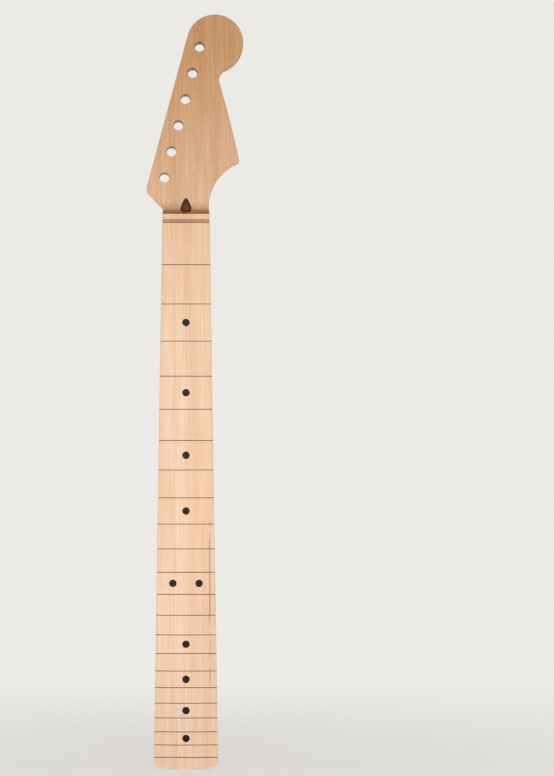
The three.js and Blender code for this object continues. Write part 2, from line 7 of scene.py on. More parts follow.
import bmesh
import bpy
import numpy as np
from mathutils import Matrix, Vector


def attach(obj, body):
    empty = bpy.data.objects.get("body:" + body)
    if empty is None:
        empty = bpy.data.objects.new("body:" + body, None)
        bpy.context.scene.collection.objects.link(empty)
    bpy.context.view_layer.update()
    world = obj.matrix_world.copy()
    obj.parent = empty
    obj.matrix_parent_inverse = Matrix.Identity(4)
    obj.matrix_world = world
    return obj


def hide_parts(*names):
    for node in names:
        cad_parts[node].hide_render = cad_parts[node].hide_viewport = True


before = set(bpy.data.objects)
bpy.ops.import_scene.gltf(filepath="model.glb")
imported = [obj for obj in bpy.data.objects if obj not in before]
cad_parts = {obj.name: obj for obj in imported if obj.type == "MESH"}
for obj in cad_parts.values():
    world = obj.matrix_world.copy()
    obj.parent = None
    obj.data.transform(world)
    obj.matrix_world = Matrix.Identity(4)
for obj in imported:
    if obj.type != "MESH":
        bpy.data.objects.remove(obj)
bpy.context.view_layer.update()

# Camera: level and square on to the neck's centreline, 1.7 m away, with a short telephoto
# lens. Its shift puts the neck in the left of the frame, as in the photo, whose right half
# shows the back.
def new_object(name, data):
    made = bpy.data.objects.new(name, data)
    bpy.context.scene.collection.objects.link(made)
    return made


camera = new_object("camera", bpy.data.cameras.new("camera"))
camera.data.sensor_width = 36
camera.data.lens = 90.48
camera.data.shift_x = 0.1173
camera.location = (0, -1.7254, 0.28218)
camera.rotation_euler = (math.radians(90), 0, 0)
bpy.context.scene.camera = camera


# Neck: one piece of maple from the heel to the top of the headstock, sawn to its outline,
# carved round at the back and sanded bare. It is drilled for six tuners and four screws, and
# routed from behind for the truss rod. All sizes of pieces are in millimetres.
mm = 0.001
scale_length = 647.7
frets = 22
nut_width = 41.3
heel_width = 55.9
wood_thickness = 19.05
board_thickness = 6.35
heel_past_last_fret = 2.76
screw_spacing_across = 38.1
screw_spacing_along = 50.8
screw_row_to_heel_end = 17.2
board_past_nut = 7.9
heel_end_radius = 95
heel_corner_radius = 4.5
head_thickness = 14.3
sweep_radius = 12.7
throat_width = 40.2
throat_past_nut = 15
first_tuner_across = 19.05
first_tuner_past_nut = 40.6
tuner_pitch = 23.8
tuner_count = 6
tuner_row_angle = 0.2635
tuner_bore = 8.73
tuner_row_to_edge = 12.7
ball_radius = 24.8
ball_past_last_tuner = 6.8
notch_radius = 9.6
notch_turn = 0.391
blade_angle = 0.28
horn_tip = (46.9, 54.6)
horn_tip_radius = 1.2
head_corner_radius = 6
head_corner_angle = 0.806
head_corner_past_nut = 29.2
throat_fillet_radius = 9
overrun = 4
cutters_past_nut = 240
cutters_half = 120
chord_error = 0.004
same_point = 1e-5
weld_distance = 0.002
sharpest_mitre = 0.5
sanded_edge = 0.5


def fret_from_nut(fret):
    return scale_length * (1 - 2 ** (-fret / 12))


nut_to_heel_end = fret_from_nut(frets) + heel_past_last_fret
heel_end_z = -(screw_spacing_along / 2 + screw_row_to_heel_end)
nut_z = heel_end_z + nut_to_heel_end
board_head_z = nut_z + board_past_nut
glue_y = -wood_thickness
board_top_y = glue_y - board_thickness
head_face_y = -head_thickness
tuner_way = cmath.exp(1j * (math.pi / 2 - tuner_row_angle))
first_tuner = -first_tuner_across + 1j * (nut_z + first_tuner_past_nut)
tuner_edge = first_tuner + tuner_way * 1j * tuner_row_to_edge
past_head_z = nut_z + cutters_past_nut
head_corner_z = nut_z + head_corner_past_nut
head_corner_x = tuner_edge.real - (tuner_edge.imag - head_corner_z) * math.tan(tuner_row_angle)


def half_width(z):
    return (nut_width + (heel_width - nut_width) * (nut_z - z) / nut_to_heel_end) / 2


# Outlines are lists of complex numbers, x + z j in the front view and y + z j in the side view
def arc(centre, radius, start, end):
    step = 2 * math.acos(1 - chord_error / radius)
    count = max(2, math.ceil(abs(end - start) / step))
    turns = np.linspace(start, end, count + 1)
    return [centre + radius * cmath.exp(1j * turn) for turn in turns]


def rounded_corner(before, corner, after, radius):
    inward = (before - corner) / abs(before - corner)
    outward = (after - corner) / abs(after - corner)
    half_angle = abs(cmath.phase(inward / outward)) / 2
    bisector = (inward + outward) / abs(inward + outward)
    centre = corner + bisector * radius / math.sin(half_angle)
    reach = radius / math.tan(half_angle)
    start = corner + inward * reach - centre
    turn = cmath.phase((corner + outward * reach - centre) / start)
    return arc(centre, radius, cmath.phase(start), cmath.phase(start) + turn)


def mirrored(point):
    return -point.conjugate()


def heel_end(apex_z):
    """The end of the wood or of the board: a shallow arc between two rounded corners."""
    slope = math.asin(half_width(apex_z) / heel_end_radius)
    corner_z = apex_z + heel_end_radius * (1 - math.cos(slope))
    right = half_width(corner_z) + 1j * corner_z
    right_up = half_width(nut_z) + 1j * nut_z
    right_in = right - heel_corner_radius * cmath.exp(1j * slope)
    arc_slope = slope - heel_corner_radius / heel_end_radius
    down = -math.pi / 2
    return (
        rounded_corner(mirrored(right_up), mirrored(right), mirrored(right_in), heel_corner_radius)
        + arc(1j * (apex_z + heel_end_radius), heel_end_radius, down - arc_slope, down + arc_slope)
        + rounded_corner(right_in, right, right_up, heel_corner_radius)
    )


def headstock():
    """The headstock's outline, from the throat on the horn side round to the tuner side."""
    throat = throat_width / 2 + 1j * (nut_z + throat_past_nut)
    tip = horn_tip[0] + 1j * (nut_z + horn_tip[1])
    scoop_radius = abs(tip - throat) ** 2 / (2 * (tip - throat).real)
    scoop_centre = throat + scoop_radius
    scoop_end = cmath.phase(tip - scoop_centre) + horn_tip_radius / scoop_radius
    scoop = arc(scoop_centre, scoop_radius, math.pi, scoop_end)

    # The ball touches the tuner edge, and the notch touches the ball
    across = tuner_way * -1j
    row_length = (tuner_count - 1) * tuner_pitch + ball_past_last_tuner
    ball_centre = first_tuner + tuner_way * row_length + across * (ball_radius - tuner_row_to_edge)
    notch_way = cmath.exp(1j * (notch_turn - math.pi / 2))
    notch_centre = ball_centre + notch_way * (ball_radius + notch_radius)

    # The blade is a long shallow arc from the horn's tip to the notch
    facing = -cmath.exp(1j * blade_angle)
    blade_top = notch_centre + notch_radius * facing
    chord = tip - blade_top
    blade_radius = abs(chord) ** 2 / (2 * (chord * facing.conjugate()).real)
    blade_centre = blade_top + facing * blade_radius
    blade_start = cmath.phase(tip - blade_centre) + horn_tip_radius / blade_radius
    sweep = cmath.phase((blade_top - blade_centre) / cmath.exp(1j * blade_start)) % (2 * math.pi)
    blade = arc(blade_centre, blade_radius, blade_start, blade_start + sweep)
    tip_arc = [
        (1 - t) ** 2 * scoop[-1] + 2 * t * (1 - t) * tip + t**2 * blade[0]
        for t in np.arange(1, 8) / 8
    ]

    notch_end = cmath.phase(ball_centre - notch_centre) % (2 * math.pi)
    notch = arc(notch_centre, notch_radius, math.pi + blade_angle, notch_end)
    ball = arc(ball_centre, ball_radius, notch_end - math.pi, math.pi - tuner_row_angle)

    corner = head_corner_x + 1j * head_corner_z
    foot_x = -throat_width / 2
    foot = foot_x + 1j * (head_corner_z - (foot_x - corner.real) * math.tan(head_corner_angle))
    return (
        scoop + tip_arc + blade + notch + ball
        + rounded_corner(tuner_edge, corner, foot, head_corner_radius)
        + rounded_corner(corner, foot, foot_x + 1j * nut_z, throat_fillet_radius)
    )


def closed(outline):
    """The outline as an array, without points that repeat the one before."""
    points = np.array(outline)
    return points[abs(points - np.roll(points, 1)) > same_point]


def inset(outline, amount):
    """A closed counterclockwise outline moved inward, by one amount or one for each point."""
    ahead = np.roll(outline, -1) - outline
    behind = outline - np.roll(outline, 1)
    ahead, behind = ahead / abs(ahead), behind / abs(behind)
    inward = 1j * (ahead + behind) / abs(ahead + behind)
    mitre = 1 / np.maximum((inward * (1j * ahead).conjugate()).real, sharpest_mitre)
    return outline + amount * inward * mitre


def solid(name, rings):
    """A closed mesh through rings of (x, y, z) points, with a cap on the first and the last."""
    count = len(rings[0])
    faces = [tuple(range(count)), tuple(range((len(rings) - 1) * count, len(rings) * count))]
    for ring in range(len(rings) - 1):
        for i in range(count):
            here, after = ring * count + i, ring * count + (i + 1) % count
            faces.append((here, after, after + count, here + count))
    mesh = bpy.data.meshes.new(name)
    mesh.from_pydata(np.concatenate(rings) * mm, [], faces)
    shape = bmesh.new()
    shape.from_mesh(mesh)
    bmesh.ops.recalc_face_normals(shape, faces=shape.faces)
    shape.to_mesh(mesh)
    shape.free()
    return new_object(name, mesh)


def block(name, x, y, z):
    """A box between the two values of x, of y and of z."""
    return solid(name, [
        np.array([(x[0], y[0], end), (x[1], y[0], end), (x[1], y[1], end), (x[0], y[1], end)])
        for end in z])


def front_ring(outline, y):
    return np.column_stack([outline.real, np.broadcast_to(y, outline.shape), outline.imag])


def side_prism(name, outline, half):
    """A side-view outline, y + z j, made solid across the neck."""
    outline = closed(outline)
    return solid(name, [
        np.column_stack([np.full(len(outline), x), outline.real, outline.imag])
        for x in (-half, half)])


def turned(name, start, way, profile, sides=64):
    """A round solid on a line from start, through (distance, radius) pairs."""
    turn = Vector((0, 0, 1)).rotation_difference(Vector(way))
    angles = [2 * math.pi * i / sides for i in range(sides)]
    return solid(name, [
        np.array([
            Vector(start) + turn @ Vector((r * math.cos(a), r * math.sin(a), along))
            for a in angles])
        for along, r in profile])


def settled(piece):
    """Applies a piece's modifiers, so that its mesh is plain."""
    ready = piece.evaluated_get(bpy.context.evaluated_depsgraph_get())
    piece.data = bpy.data.meshes.new_from_object(ready)
    piece.modifiers.clear()


def shaped(piece, operation, tools, keep=()):
    """Cuts or intersects a closed mesh with others, which go once they are used."""
    for tool in tools:
        step = piece.modifiers.new("shape", "BOOLEAN")
        step.operation = operation
        step.solver = "MANIFOLD"
        step.object = tool
        settled(piece)
        if tool not in keep:
            bpy.data.objects.remove(tool)


def smoothed(piece, crease):
    """Shades a finished piece smooth up to a crease angle, its large faces leading."""
    shape = bmesh.new()
    shape.from_mesh(piece.data)
    bmesh.ops.remove_doubles(shape, verts=shape.verts, dist=weld_distance * mm)
    bmesh.ops.dissolve_degenerate(shape, edges=shape.edges, dist=weld_distance * mm)
    shape.to_mesh(piece.data)
    shape.free()
    piece.data.shade_smooth()
    piece.data.set_sharp_from_angle(angle=math.radians(crease))
    leading = piece.modifiers.new("leading faces", "WEIGHTED_NORMAL")
    leading.keep_sharp = True
    leading.weight = 80
    settled(piece)


# The carved back is a loft of superellipse sections that grow out of the wood at both ends.
# Where a section leaves the flat back, its edge is softened as the sanding leaves it.
carve_power = 2.2
carve_points = 181
shoulder_zone = (34, 84)
depth_at_first_fret = 23.9
depth_at_octave = 25.4
shoulder_above_screws = 13.6
heel_runout_length = 40
heel_runout_rise = 8.7
heel_runout_reach = 8
horn_runout_below_nut = 9
horn_runout_length = 51
horn_runout_reach = 13
throat_runout_past_nut = 2
throat_runout_length = 14.8
most_runout = 1.5
foot_climb_past_nut = (1, 19.2)
foot_climb_power = 1.8
highest_foot = 0.985
sanded_shoulder = 3
skim = 0.01
side_skim = 0.05


def fret_z(fret):
    return nut_z - fret_from_nut(fret)


def shaft_depth(z):
    share = (fret_z(1) - z) / (fret_z(1) - fret_z(12))
    total = depth_at_first_fret + (depth_at_octave - depth_at_first_fret) * np.clip(share, 0, 1)
    return total - board_thickness


def carve_section(z, horn_depth, tuner_depth, horn_side, tuner_side):
    """A ring with a depth and a half width for each side, and an overrun past the glue."""
    angle = np.linspace(0, math.pi, carve_points)
    across = abs(np.cos(angle)) ** (2 / carve_power)
    share = np.clip(-2 * np.cos(angle), 0, 1)
    depth = horn_depth + (tuner_depth - horn_depth) * share**2 * (3 - 2 * share)
    behind = (depth - skim) * abs(np.sin(angle)) ** (2 / carve_power)
    flat = wood_thickness + skim
    soft = np.clip(depth - wood_thickness, skim, sanded_shoulder)
    near = np.maximum(soft - abs(behind - flat), 0)
    behind = np.minimum(behind, flat) - near**2 / (4 * soft)
    x = np.where(angle < math.pi / 2, horn_side, -tuner_side) * across
    x = np.append(x, [-tuner_side, horn_side])
    y = np.append(glue_y + behind, [glue_y - overrun] * 2)
    return np.column_stack([x, y, np.full(len(x), z)])


def heel_section(z):
    start_z = screw_spacing_along / 2 + shoulder_above_screws + heel_runout_length
    share = max(0, (start_z - z) / heel_runout_length)
    side = half_width(z) + side_skim + heel_runout_reach * share**3
    depth = shaft_depth(z) + heel_runout_rise * share**3
    return carve_section(z, depth, depth, side, side)


def runout(z, past_nut, length):
    """The share of the way that a side has come out of the wood, and its depth there."""
    share = min(max(0, (z - nut_z - past_nut) / length), most_runout)
    return share, shaft_depth(z) + (2 * wood_thickness - shaft_depth(z)) * share**3


throat_edge = np.array([-nut_width / 2 + 1j * nut_z] + [
    point for point in headstock()[::-1]
    if point.real < 0 and point.imag < head_corner_z + 2 * head_corner_radius])


def head_section(z):
    """Above the nut the section deepens until it leaves the wood, quickest on the tuner side.
    There its foot climbs the headstock's side wall up to the flat back. On the horn side it
    widens too, and bevels the edge of the scoop."""
    horn_share, horn_depth = runout(z, -horn_runout_below_nut, horn_runout_length)
    throat_depth = runout(z, throat_runout_past_nut, throat_runout_length)[1]
    tuner_depth = max(horn_depth, throat_depth)
    width = half_width(min(z, nut_z)) + side_skim
    wall = width if z < nut_z else side_skim - np.interp(z, throat_edge.imag, throat_edge.real)
    start, end = foot_climb_past_nut
    climbed = max(0, (z - nut_z - start) / (end - start)) ** foot_climb_power
    height = min(wood_thickness * climbed, highest_foot * tuner_depth) / tuner_depth
    horn_side = width + horn_runout_reach * horn_share**5
    tuner_side = wall / (1 - height**carve_power) ** (1 / carve_power)
    return carve_section(z, horn_depth, tuner_depth, horn_side, tuner_side)


def carved_back():
    """The sections stand closest together where the carve leaves the wood."""
    on_heel = [
        *np.arange(heel_end_z - 2 * overrun, shoulder_zone[0], 2),
        *np.arange(*shoulder_zone, 0.7), *np.linspace(shoulder_zone[1], fret_z(1), 34)]
    on_head = [*np.arange(fret_z(1) + 4, nut_z - 8, 5)]
    for start, end, step in ((-8, 2, 1), (2, 20, 0.4), (20, 68, 1)):
        on_head += [*np.arange(nut_z + start, nut_z + end, step)]
    on_head += [nut_z + 70, past_head_z]
    return solid("carved_back", [heel_section(z) for z in on_heel]
        + [head_section(z) for z in on_head])


def head_face_cutter():
    """What is sawn away in front of the headstock, with the sweep up to the board's end."""
    rise = head_face_y - board_top_y
    run = math.sqrt(sweep_radius**2 - (sweep_radius - rise) ** 2)
    centre = head_face_y - sweep_radius + 1j * (board_head_z + run)
    past_y = board_top_y - 2 * overrun
    outline = arc(centre, sweep_radius, math.atan2(-run, sweep_radius - rise), 0)
    outline += [head_face_y + 1j * past_head_z, past_y + 1j * past_head_z]
    return side_prism("head_face", outline + [past_y + 1j * board_head_z], cutters_half)


# The rod's way through the wood: from the plug above the nut, deep under the back in the
# middle, then up to the barrel and the nut's bore in the heel
rod_diameter = 4.76
rod_gap = 0.2
rod_below_glue_at_heel = 8
rod_below_glue_at_deepest = 12.7
rod_deepest_share = 0.405
rod_straight_above_barrel = 20
rod_bend_handle = 90
rod_in_anchor = 8
rod_in_nut = 8.5
barrel_below_screws = 3.3
barrel_diameter = 9.2
barrel_floor = 2.2
barrel_z = screw_spacing_along / 2 - barrel_below_screws
plug_diameter = 9.5
plug_length = 14
plug_angle = 0.2497
plug_mouth_under_face = 2.45
plug_mouth_past_nut = 13.1
anchor_length = 9
inlay_gap = 0.1
seat_gap = 0.3
stripe_width = 6.35
stripe_top_below_nut = 39.5
truss_nut_diameter = 8
truss_nut_length = 14
truss_nut_recess = 0.6
truss_nut_gap = 0.4
washer_thickness = 1.2
pilot_diameter = 3.2
pilot_depth = 16
pilot_point = (1, 0.1)
hole_edge = 0.15
glue_edge = 0.12
softened_past_nut = (10, 22)

plug_mouth = head_face_y - plug_mouth_under_face + 1j * (nut_z + plug_mouth_past_nut)
plug_inward = math.sin(plug_angle) - 1j * math.cos(plug_angle)
anchor_end = plug_length + seat_gap + anchor_length
rod_heel_y = glue_y + rod_below_glue_at_heel
truss_nut_end_z = heel_end_z + truss_nut_recess
truss_nut_seat_z = truss_nut_end_z + truss_nut_length


def on_plug_line(distance):
    return plug_mouth + plug_inward * distance


def plug_line_point(distance):
    place = on_plug_line(distance)
    return (0, place.real, place.imag)


plug_way = (0, plug_inward.real, plug_inward.imag)


def bezier(corners, steps):
    """Points on a curve of any degree, up to its end but without it."""
    t = np.arange(steps) / steps
    points = [np.full(steps, corner, complex) for corner in corners]
    while len(points) > 1:
        points = [a + (b - a) * t for a, b in zip(points, points[1:])]
    return points[0]


def rod_line():
    start = on_plug_line(anchor_end - rod_in_anchor)
    leaves = on_plug_line(anchor_end + seat_gap)
    deepest_z = nut_z - rod_deepest_share * nut_to_heel_end
    deepest = glue_y + rod_below_glue_at_deepest + 1j * deepest_z
    bend = leaves + plug_inward * (deepest.real - leaves.real) / plug_inward.real
    straight = rod_heel_y + 1j * (barrel_z + rod_straight_above_barrel)
    handle = 1j * rod_bend_handle
    end = rod_heel_y + 1j * (truss_nut_seat_z - rod_in_nut)
    return np.concatenate([
        bezier([start, leaves], 1),
        bezier([leaves, bend, deepest], 32),
        bezier([deepest, deepest - handle, straight + handle, straight], 32),
        [straight, end],
    ])


def rod_hole(radius):
    line = rod_line()
    along = np.gradient(line)
    along /= abs(along)
    angles = np.linspace(0, 2 * math.pi, 32, endpoint=False)
    rings = []
    for point, way in zip(line, along):
        side = point + radius * np.sin(angles) * way * 1j
        rings.append(np.column_stack([-radius * np.cos(angles), side.real, side.imag]))
    return solid("rod_hole", rings)


def rod_slot(gap, behind_rod, bottom_z):
    """The long slot in the back, with its round top end, down to the rod."""
    half = stripe_width / 2 + gap
    top = 1j * (nut_z - stripe_top_below_nut - stripe_width / 2)
    outline = closed([-half + 1j * bottom_z, half + 1j * bottom_z] + arc(top, half, 0, math.pi))
    slot = solid("slot", [front_ring(outline, glue_y), front_ring(outline, overrun)])
    side = list(rod_line() + behind_rod)
    side += [2 * overrun + 1j * side[-1].imag, 2 * overrun + 1j * side[0].imag]
    shaped(slot, "INTERSECT", [side_prism("floor", side, half + overrun)])
    return slot


def drilled(x, z, profile):
    return turned("bore", (x, 0, z), (0, 1, 0), profile, sides=48)


carve = carved_back()
head_cutter = head_face_cutter()
r = plug_diameter / 2 + inlay_gap
plug_bore = turned("plug_bore", plug_line_point(-2 * plug_length), plug_way,
    [(0, r), (2 * plug_length + anchor_end + seat_gap, r)])

outline = closed(
    heel_end(heel_end_z) + [nut_width / 2 + 1j * nut_z]
    + headstock() + [-nut_width / 2 + 1j * nut_z])
start, end = softened_past_nut
on_head = np.clip((outline.imag - nut_z - start) / (end - start), 0, 1)
quarter = np.linspace(0, math.pi / 2, 6)
rings = [
    front_ring(inset(outline, glue_edge * (1 - on_head)), glue_y),
    front_ring(outline, glue_y + glue_edge),
]
for turn in quarter:
    rings.append(front_ring(
        inset(outline, sanded_edge * on_head * (1 - math.sin(turn))),
        head_face_y - skim + sanded_edge * (1 - math.cos(turn))))
for turn in quarter:
    rings.append(front_ring(
        inset(outline, sanded_edge * (1 - math.cos(turn))),
        -sanded_edge * (1 - math.sin(turn))))
neck = solid("maple_neck", rings)
shaped(neck, "INTERSECT", [carve], keep=[carve])
r = tuner_bore / 2
tuner_bores = []
for i in range(tuner_count):
    place = first_tuner + tuner_way * tuner_pitch * i
    tuner_bores.append(drilled(place.real, place.imag, [
        (head_face_y - hole_edge, r + 2 * hole_edge), (head_face_y + hole_edge, r),
        (-hole_edge, r), (hole_edge, r + 2 * hole_edge)]))
r = pilot_diameter / 2
point_length, point_radius = pilot_point
pilots = [
    drilled(x * screw_spacing_across / 2, z * screw_spacing_along / 2, [
        (-pilot_depth, point_radius), (-pilot_depth + point_length, r),
        (-hole_edge, r), (hole_edge, r + 2 * hole_edge)])
    for x in (-1, 1) for z in (-1, 1)
]
r = barrel_diameter / 2 + inlay_gap
barrel_bottom_y = rod_heel_y - rod_diameter / 2 - barrel_floor
barrel_bore = drilled(0, barrel_z, [(barrel_bottom_y, r), (overrun, r)])
r = truss_nut_diameter / 2 + truss_nut_gap
nut_bore = turned("nut_bore", (0, rod_heel_y, heel_end_z - overrun), (0, 0, 1), [
    (0, r + overrun + hole_edge), (overrun + hole_edge, r),
    (overrun + truss_nut_recess + truss_nut_length + 2 * seat_gap + washer_thickness, r)])
shaped(neck, "DIFFERENCE", [head_cutter, plug_bore], keep=[head_cutter, plug_bore])
shaped(neck, "DIFFERENCE", [
    *tuner_bores, *pilots, rod_hole(rod_diameter / 2 + rod_gap),
    rod_slot(inlay_gap, 0, barrel_z), barrel_bore, nut_bore])
smoothed(neck, 30)


def linear(code):
    """A colour written as sRGB hex, in the linear values that a shader takes."""
    parts = [int(code[i:i + 2], 16) / 255 for i in (1, 3, 5)]
    return [p / 12.92 if p <= 0.04045 else ((p + 0.055) / 1.055) ** 2.4 for p in parts] + [1]


def finished(piece, material, slot, body, *nodes):
    """Gives a piece its material, hides the CAD parts that it stands for, and hangs it on its
    body.
    """
    piece.data.materials.clear()
    piece.data.materials.append(material)
    for face in piece.data.polygons:
        face.material_index = 0
    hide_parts(*nodes)
    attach(piece, body)


def add_node(tree, kind, given=None, **settings):
    """Adds a node with its settings. Each input in given gets a value, or a link from a socket
    or from the first output that a node uses."""
    node = tree.nodes.new(kind)
    for name, value in settings.items():
        setattr(node, name, value)
    for name, value in (given or {}).items():
        if isinstance(value, bpy.types.Node):
            value = next(output for output in value.outputs if output.enabled)
        if isinstance(value, bpy.types.NodeSocket):
            tree.links.new(value, node.inputs[name])
        else:
            node.inputs[name].default_value = value
    return node


smooth = {"interpolation_type": "SMOOTHSTEP"}


def new_material(name):
    """A new material, what adds nodes to it, and a point's place in the shared frame."""
    material = bpy.data.materials.new(name)
    material.use_nodes = True
    material.node_tree.nodes.clear()
    add = partial(add_node, material.node_tree)
    return material, add, add("ShaderNodeTexCoord").outputs["Object"]


def grain(add, place, per_metre, low, high, detail=2, roughness=0.5, most=1, **settings):
    """Noise drawn out along the neck, with a scale for each axis, as a share from 0 to most."""
    drawn = add("ShaderNodeMapping", {"Vector": place, "Scale": per_metre})
    noise = add("ShaderNodeTexNoise", {
        "Vector": drawn, "Scale": 1, "Detail": detail, "Roughness": roughness})
    return add("ShaderNodeMapRange", {
        "Value": noise, "From Min": low, "From Max": high, "To Max": most}, **settings)


def from_axis(add, place, start, way):
    """The offset from an axis's start to a place, and how far the place is off the axis."""
    offset = add("ShaderNodeVectorMath", {
        0: place, 1: [part * mm for part in start]}, operation="SUBTRACT")
    beside = add("ShaderNodeVectorMath", {0: offset, 1: way}, operation="CROSS_PRODUCT")
    return offset, add("ShaderNodeVectorMath", {0: beside}, operation="LENGTH")


def surfaced(add, colour, rough, height, strength, depth, more, invert=False):
    """Ends a material with a bump, its depth in mm, and the shader. more is its other inputs."""
    bump = add("ShaderNodeBump", {
        "Height": height, "Strength": strength, "Distance": depth * mm}, invert=invert)
    shader = add("ShaderNodeBsdfPrincipled", {
        "Base Color": colour, "Roughness": rough, "Normal": bump, **more})
    add("ShaderNodeOutputMaterial", {"Surface": shader})


def sanded_maple(name, colours, pith, ring_share, fibre_depth, extra):
    """Hard maple, sanded bare: pale, dull and fine. Growth rings round a far-off pith show as
    faint long lines, fibres and tinted strands run along the neck, and end grain is darker.
    Painted shade darkens the sides and the faces that look along the neck.
    extra gives more layers, each as a share, a colour and the way that it goes on."""
    pink, straw, band, line, fleck_colour, end_grain_and_shade_tint = [linear(colour) for colour in colours]
    material, add, place = new_material(name)

    # Rings 3 mm apart, bent by slow waves along the trunk
    slow = add("ShaderNodeMapping", {"Vector": place, "Scale": (20, 20, 4)})
    wander = add("ShaderNodeTexNoise", {"Vector": slow, "Scale": 1, "Detail": 2.5})
    across = add("ShaderNodeVectorMath", {0: place, 1: (1, 1, 0.02), 2: pith},
        operation="MULTIPLY_ADD")
    distance = add("ShaderNodeVectorMath", {0: across}, operation="LENGTH")
    bent = add("ShaderNodeMath", {0: wander, 1: 9 * mm, 2: distance}, operation="MULTIPLY_ADD")
    rings = add("ShaderNodeMath", {0: bent, 1: 3 * mm}, operation="DIVIDE")
    phase = add("ShaderNodeMath", {0: rings, 1: 0.5}, operation="PINGPONG")
    late = add("ShaderNodeMapRange", {"Value": phase, "From Min": 0.34, "From Max": 0.5}, **smooth)
    which = add("ShaderNodeMath", {0: rings}, operation="FLOOR")
    strength = add("ShaderNodeTexWhiteNoise", {"W": which}, noise_dimensions="1D")
    ring_line = add("ShaderNodeMath", {0: late, 1: strength}, operation="MULTIPLY")
    late_wood = add("ShaderNodeMath", {0: ring_line, 1: ring_share}, operation="MULTIPLY")

    # Broad bands of tone, 15 mm across and 250 mm long, and strands of 2.5 by 90 mm
    tone = grain(add, place, (66, 50, 4), 0.4, 0.72, **smooth)
    tint = grain(add, place, (400, 300, 11), 0.35, 0.65)
    # Fibres are under 0.1 mm wide; they are drawn 0.9 mm wide so that they show
    fibre = grain(add, place, (1100, 450, 26), 0.3, 0.7, 3, 0.6)
    in_shade = [1 - fibre_depth * share for share in (1, 1.45, 2)] + [1]
    shade = add("ShaderNodeMix", {
        "Factor": fibre, 6: in_shade, 7: [1 + fibre_depth / 2] * 3 + [1]}, data_type="RGBA")
    # Flecks 0.8 mm wide and 5 mm long
    fleck = grain(add, place, (1250, 600, 200), 0.66, 0.78, most=0.3)

    # Painted shade: the sides turn darker and more orange the more they turn from the back or the
    # front, as if the lamps lit them less. End grain, which faces along the neck, is darker, and
    # the same tint paints the shade on faces that look along the neck, such as the sweep.
    facing = add("ShaderNodeNewGeometry")
    normal = add("ShaderNodeSeparateXYZ", {0: facing.outputs["Normal"]})
    flat_on = add("ShaderNodeMath", {0: normal.outputs[1]}, operation="ABSOLUTE")
    tilt = add("ShaderNodeMath", {0: 1, 1: flat_on}, operation="SUBTRACT", use_clamp=True)
    painted_side_shade = add("ShaderNodeMath", {0: tilt, 1: 0.7}, operation="POWER")
    end_grain = add("ShaderNodeMath", {0: normal.outputs[2]}, operation="ABSOLUTE")
    end_grain_and_shade = add("ShaderNodeMapRange", {
        "Value": end_grain, "From Min": 0.45, "From Max": 1}, **smooth)

    wood = pink
    for share, colour, blend in (
            (tint, straw, "MIX"), (tone, band, "MIX"), (late_wood, line, "MIX"),
            (fleck, fleck_colour, "MIX"), (1, shade, "MULTIPLY"),
            (painted_side_shade, linear("#EED8BE"), "MULTIPLY"), (end_grain_and_shade, end_grain_and_shade_tint, "MULTIPLY"),
            *extra(add, place, normal, end_grain_and_shade)):
        wood = add("ShaderNodeMix", {"Factor": share, 6: wood, 7: colour},
            data_type="RGBA", blend_type=blend)
    rough = add("ShaderNodeMapRange", {"Value": fibre, "To Min": 0.52, "To Max": 0.68})
    height = add("ShaderNodeMath", {0: ring_line, 1: -0.6, 2: fibre}, operation="MULTIPLY_ADD")
    surfaced(add, wood, rough, height, 0.4, 0.03, {"IOR": 1.45, "Specular IOR Level": 0.12})
    return material


def front_tone_top_shade_and_bores(add, place, normal, end_grain_and_shade):
    """The wood turns a deeper orange towards the face of the headstock, its own tone, and more so
    towards the top, which is painted shade for the light falling off there. The walls of the
    tuner holes are browner."""
    apart = add("ShaderNodeSeparateXYZ", {0: place})
    front = add("ShaderNodeMapRange", {
        "Value": apart.outputs[1], "From Min": -3 * mm, "From Max": head_face_y * mm,
        "To Min": 0.3}, **smooth)
    # Painted shade: the tint grows towards the top of the headstock, where less light falls
    higher = add("ShaderNodeMapRange", {
        "Value": apart.outputs[2], "From Min": (nut_z - 60) * mm, "From Max": (nut_z + 150) * mm,
        "To Min": 0.2, "To Max": 1})
    amount = add("ShaderNodeMath", {0: front, 1: higher}, operation="MULTIPLY")

    # From the nearest tuner hole: the whole pitches along the row are taken away first
    from_first = add("ShaderNodeVectorMath", {
        0: place, 1: (first_tuner.real * mm, 0, first_tuner.imag * mm)}, operation="SUBTRACT")
    along = add("ShaderNodeVectorMath", {
        0: from_first, 1: (tuner_way.real, 0, tuner_way.imag)}, operation="DOT_PRODUCT")
    pitches = add("ShaderNodeMath", {0: along, 1: tuner_pitch * mm}, operation="DIVIDE")
    whole = add("ShaderNodeMath", {0: pitches}, operation="ROUND")
    whole = add("ShaderNodeClamp", {"Value": whole, "Max": tuner_count - 1})
    nearest = add("ShaderNodeVectorMath", {
        0: (tuner_way.real * tuner_pitch * mm, 0, tuner_way.imag * tuner_pitch * mm),
        "Scale": whole}, operation="SCALE")
    off = add("ShaderNodeVectorMath", {0: from_first, 1: nearest}, operation="SUBTRACT")
    flat = add("ShaderNodeVectorMath", {0: off, 1: (1, 0, 1)}, operation="MULTIPLY")
    away = add("ShaderNodeVectorMath", {0: flat}, operation="LENGTH")
    bore = add("ShaderNodeMapRange", {
        "Value": away, "From Min": (tuner_bore / 2 + 0.25) * mm,
        "From Max": (tuner_bore / 2 + 0.05) * mm})
    return [(amount, linear("#ECCDAC"), "MULTIPLY"), (bore, linear("#B98A62"), "MULTIPLY")]


# The last colour tints end grain and paints the shade on faces that look along the neck
neck_maple = sanded_maple("sanded_neck_maple",
    ("#F7DBC3", "#F5DCBF", "#F0CEAD", "#DFB893", "#B98F68", "#CCA47E"), (0.12, 0.16, 0), 0.45,
    0.13, front_tone_top_shade_and_bores)
finished(neck, neck_maple, "neck_maple", "neck_body", "neck")


